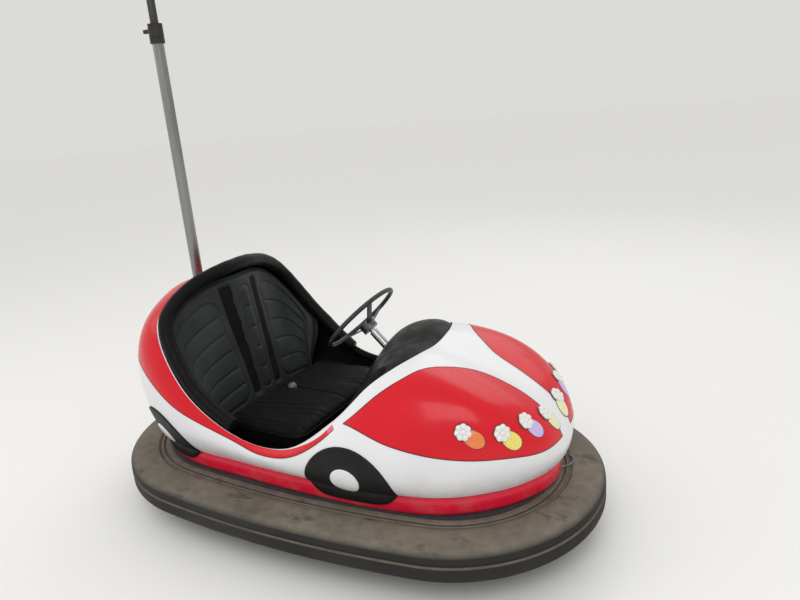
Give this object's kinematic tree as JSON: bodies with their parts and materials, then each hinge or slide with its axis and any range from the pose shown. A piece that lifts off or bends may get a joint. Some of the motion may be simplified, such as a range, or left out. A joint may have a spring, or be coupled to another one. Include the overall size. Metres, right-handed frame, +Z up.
{
  "type": "bumper car",
  "caption": "Two-seat fairground bumper car: rounded red and white body in a rubber ring, bench seat, steered drive wheel and roof-contact pole.",
  "frame": {"origin": "on the floor under the middle of the rubber ring", "axes": "+X towards the nose, +Y to the driver's left, +Z up along the pole"},
  "size_m": [1.95, 1.14, 2.7051],
  "materials": {
    "ring_rubber": "matt, dusty on top",
    "frame_paint": "satin",
    "nose_paint": "gloss moulding, red and white",
    "tail_paint": "gloss moulding, red and white",
    "shield_black": "satin black",
    "shield_white": "gloss white",
    "lamp_ring": "gloss",
    "lamp_glow": "lit lamp",
    "tail_ring": "gloss",
    "tail_glow": "lit lamp",
    "black_plastic": "moulded black",
    "seat_leather": "black vinyl",
    "belt_web": "dark webbing",
    "buckle_plastic": "grey",
    "chrome_tube": "polished",
    "shaft_steel": "turned",
    "wheel_black": "satin black",
    "fork_iron": "dark",
    "motor_iron": "dark",
    "drive_rubber": "solid rubber",
    "hub_iron": "dark",
    "pole_steel": "worn steel",
    "pole_iron": "dark",
    "pole_dark": "dark tube",
    "shoe_brass": "worn",
    "pedal_aluminium": "ribbed"
  },
  "bodies": {
    "chassis": {"bumper_tyre": "ring_rubber", "bumper_rim": "frame_paint", "floor_pan": "frame_paint", "cross_tubes": "frame_paint", "nose_body": "nose_paint", "tail_body": "tail_paint", "wheel_shields": "shield_black", "shield_hubs": "shield_white", "headlamp_rings": "lamp_ring", "headlamp_discs": "lamp_glow", "tail_lamp_rings": "tail_ring", "tail_lamp_discs": "tail_glow", "dash_panel": "black_plastic", "bulkhead": "black_plastic", "seat_base": "black_plastic", "seat_cushion": "seat_leather", "seat_back": "seat_leather", "seat_roll": "seat_leather", "belt_straps": "belt_web", "belt_buckle": "buckle_plastic", "column_tube": "chrome_tube", "column_foot": "black_plastic", "swivel_plate": "frame_paint", "rear_brackets": "frame_paint", "pole_socket": "frame_paint", "pole_lower": "pole_steel", "pole_collar": "pole_iron", "pole_upper": "pole_dark", "contact_head": "pole_iron", "contact_arm": "pole_dark", "contact_spring": "pole_steel", "contact_shoe": "shoe_brass", "pedal": "pedal_aluminium", "nose_catch": "pole_steel"},
    "steering_wheel": {"steering_shaft": "shaft_steel", "steering_hub": "wheel_black", "steering_rim": "wheel_black"},
    "drive_swivel": {"drive_fork": "fork_iron"},
    "drive_wheel": {"drive_hub": "motor_iron", "drive_tyre": "drive_rubber"},
    "rear_wheel_left": {"rear_hub_left": "hub_iron", "rear_tyre_left": "drive_rubber"},
    "rear_wheel_right": {"rear_hub_right": "hub_iron", "rear_tyre_right": "drive_rubber"}
  },
  "joints": [
    {"name": "drive_turn", "type": "hinge", "parent": "chassis", "child": "drive_swivel", "pos_m": [0.52, 0, 0.2], "axis": [0, 0, 1], "continuous": true},
    {"name": "steering_turn", "type": "hinge", "parent": "chassis", "child": "steering_wheel", "pos_m": [-0.045, 0.225, 0.64], "axis": [-0.7071, 0, 0.7071], "continuous": true},
    {"name": "drive_spin", "type": "hinge", "parent": "drive_swivel", "child": "drive_wheel", "pos_m": [0.52, 0, 0.1], "axis": [0, 1, 0], "continuous": true},
    {"name": "rear_spin_left", "type": "hinge", "parent": "chassis", "child": "rear_wheel_left", "pos_m": [-0.56, 0.25, 0.07], "axis": [0, 1, 0], "continuous": true},
    {"name": "rear_spin_right", "type": "hinge", "parent": "chassis", "child": "rear_wheel_right", "pos_m": [-0.56, -0.25, 0.07], "axis": [0, 1, 0], "continuous": true}
  ],
  "couplings": [
    {"joint": "steering_turn", "follows": "drive_turn", "ratio": 1}
  ]
}
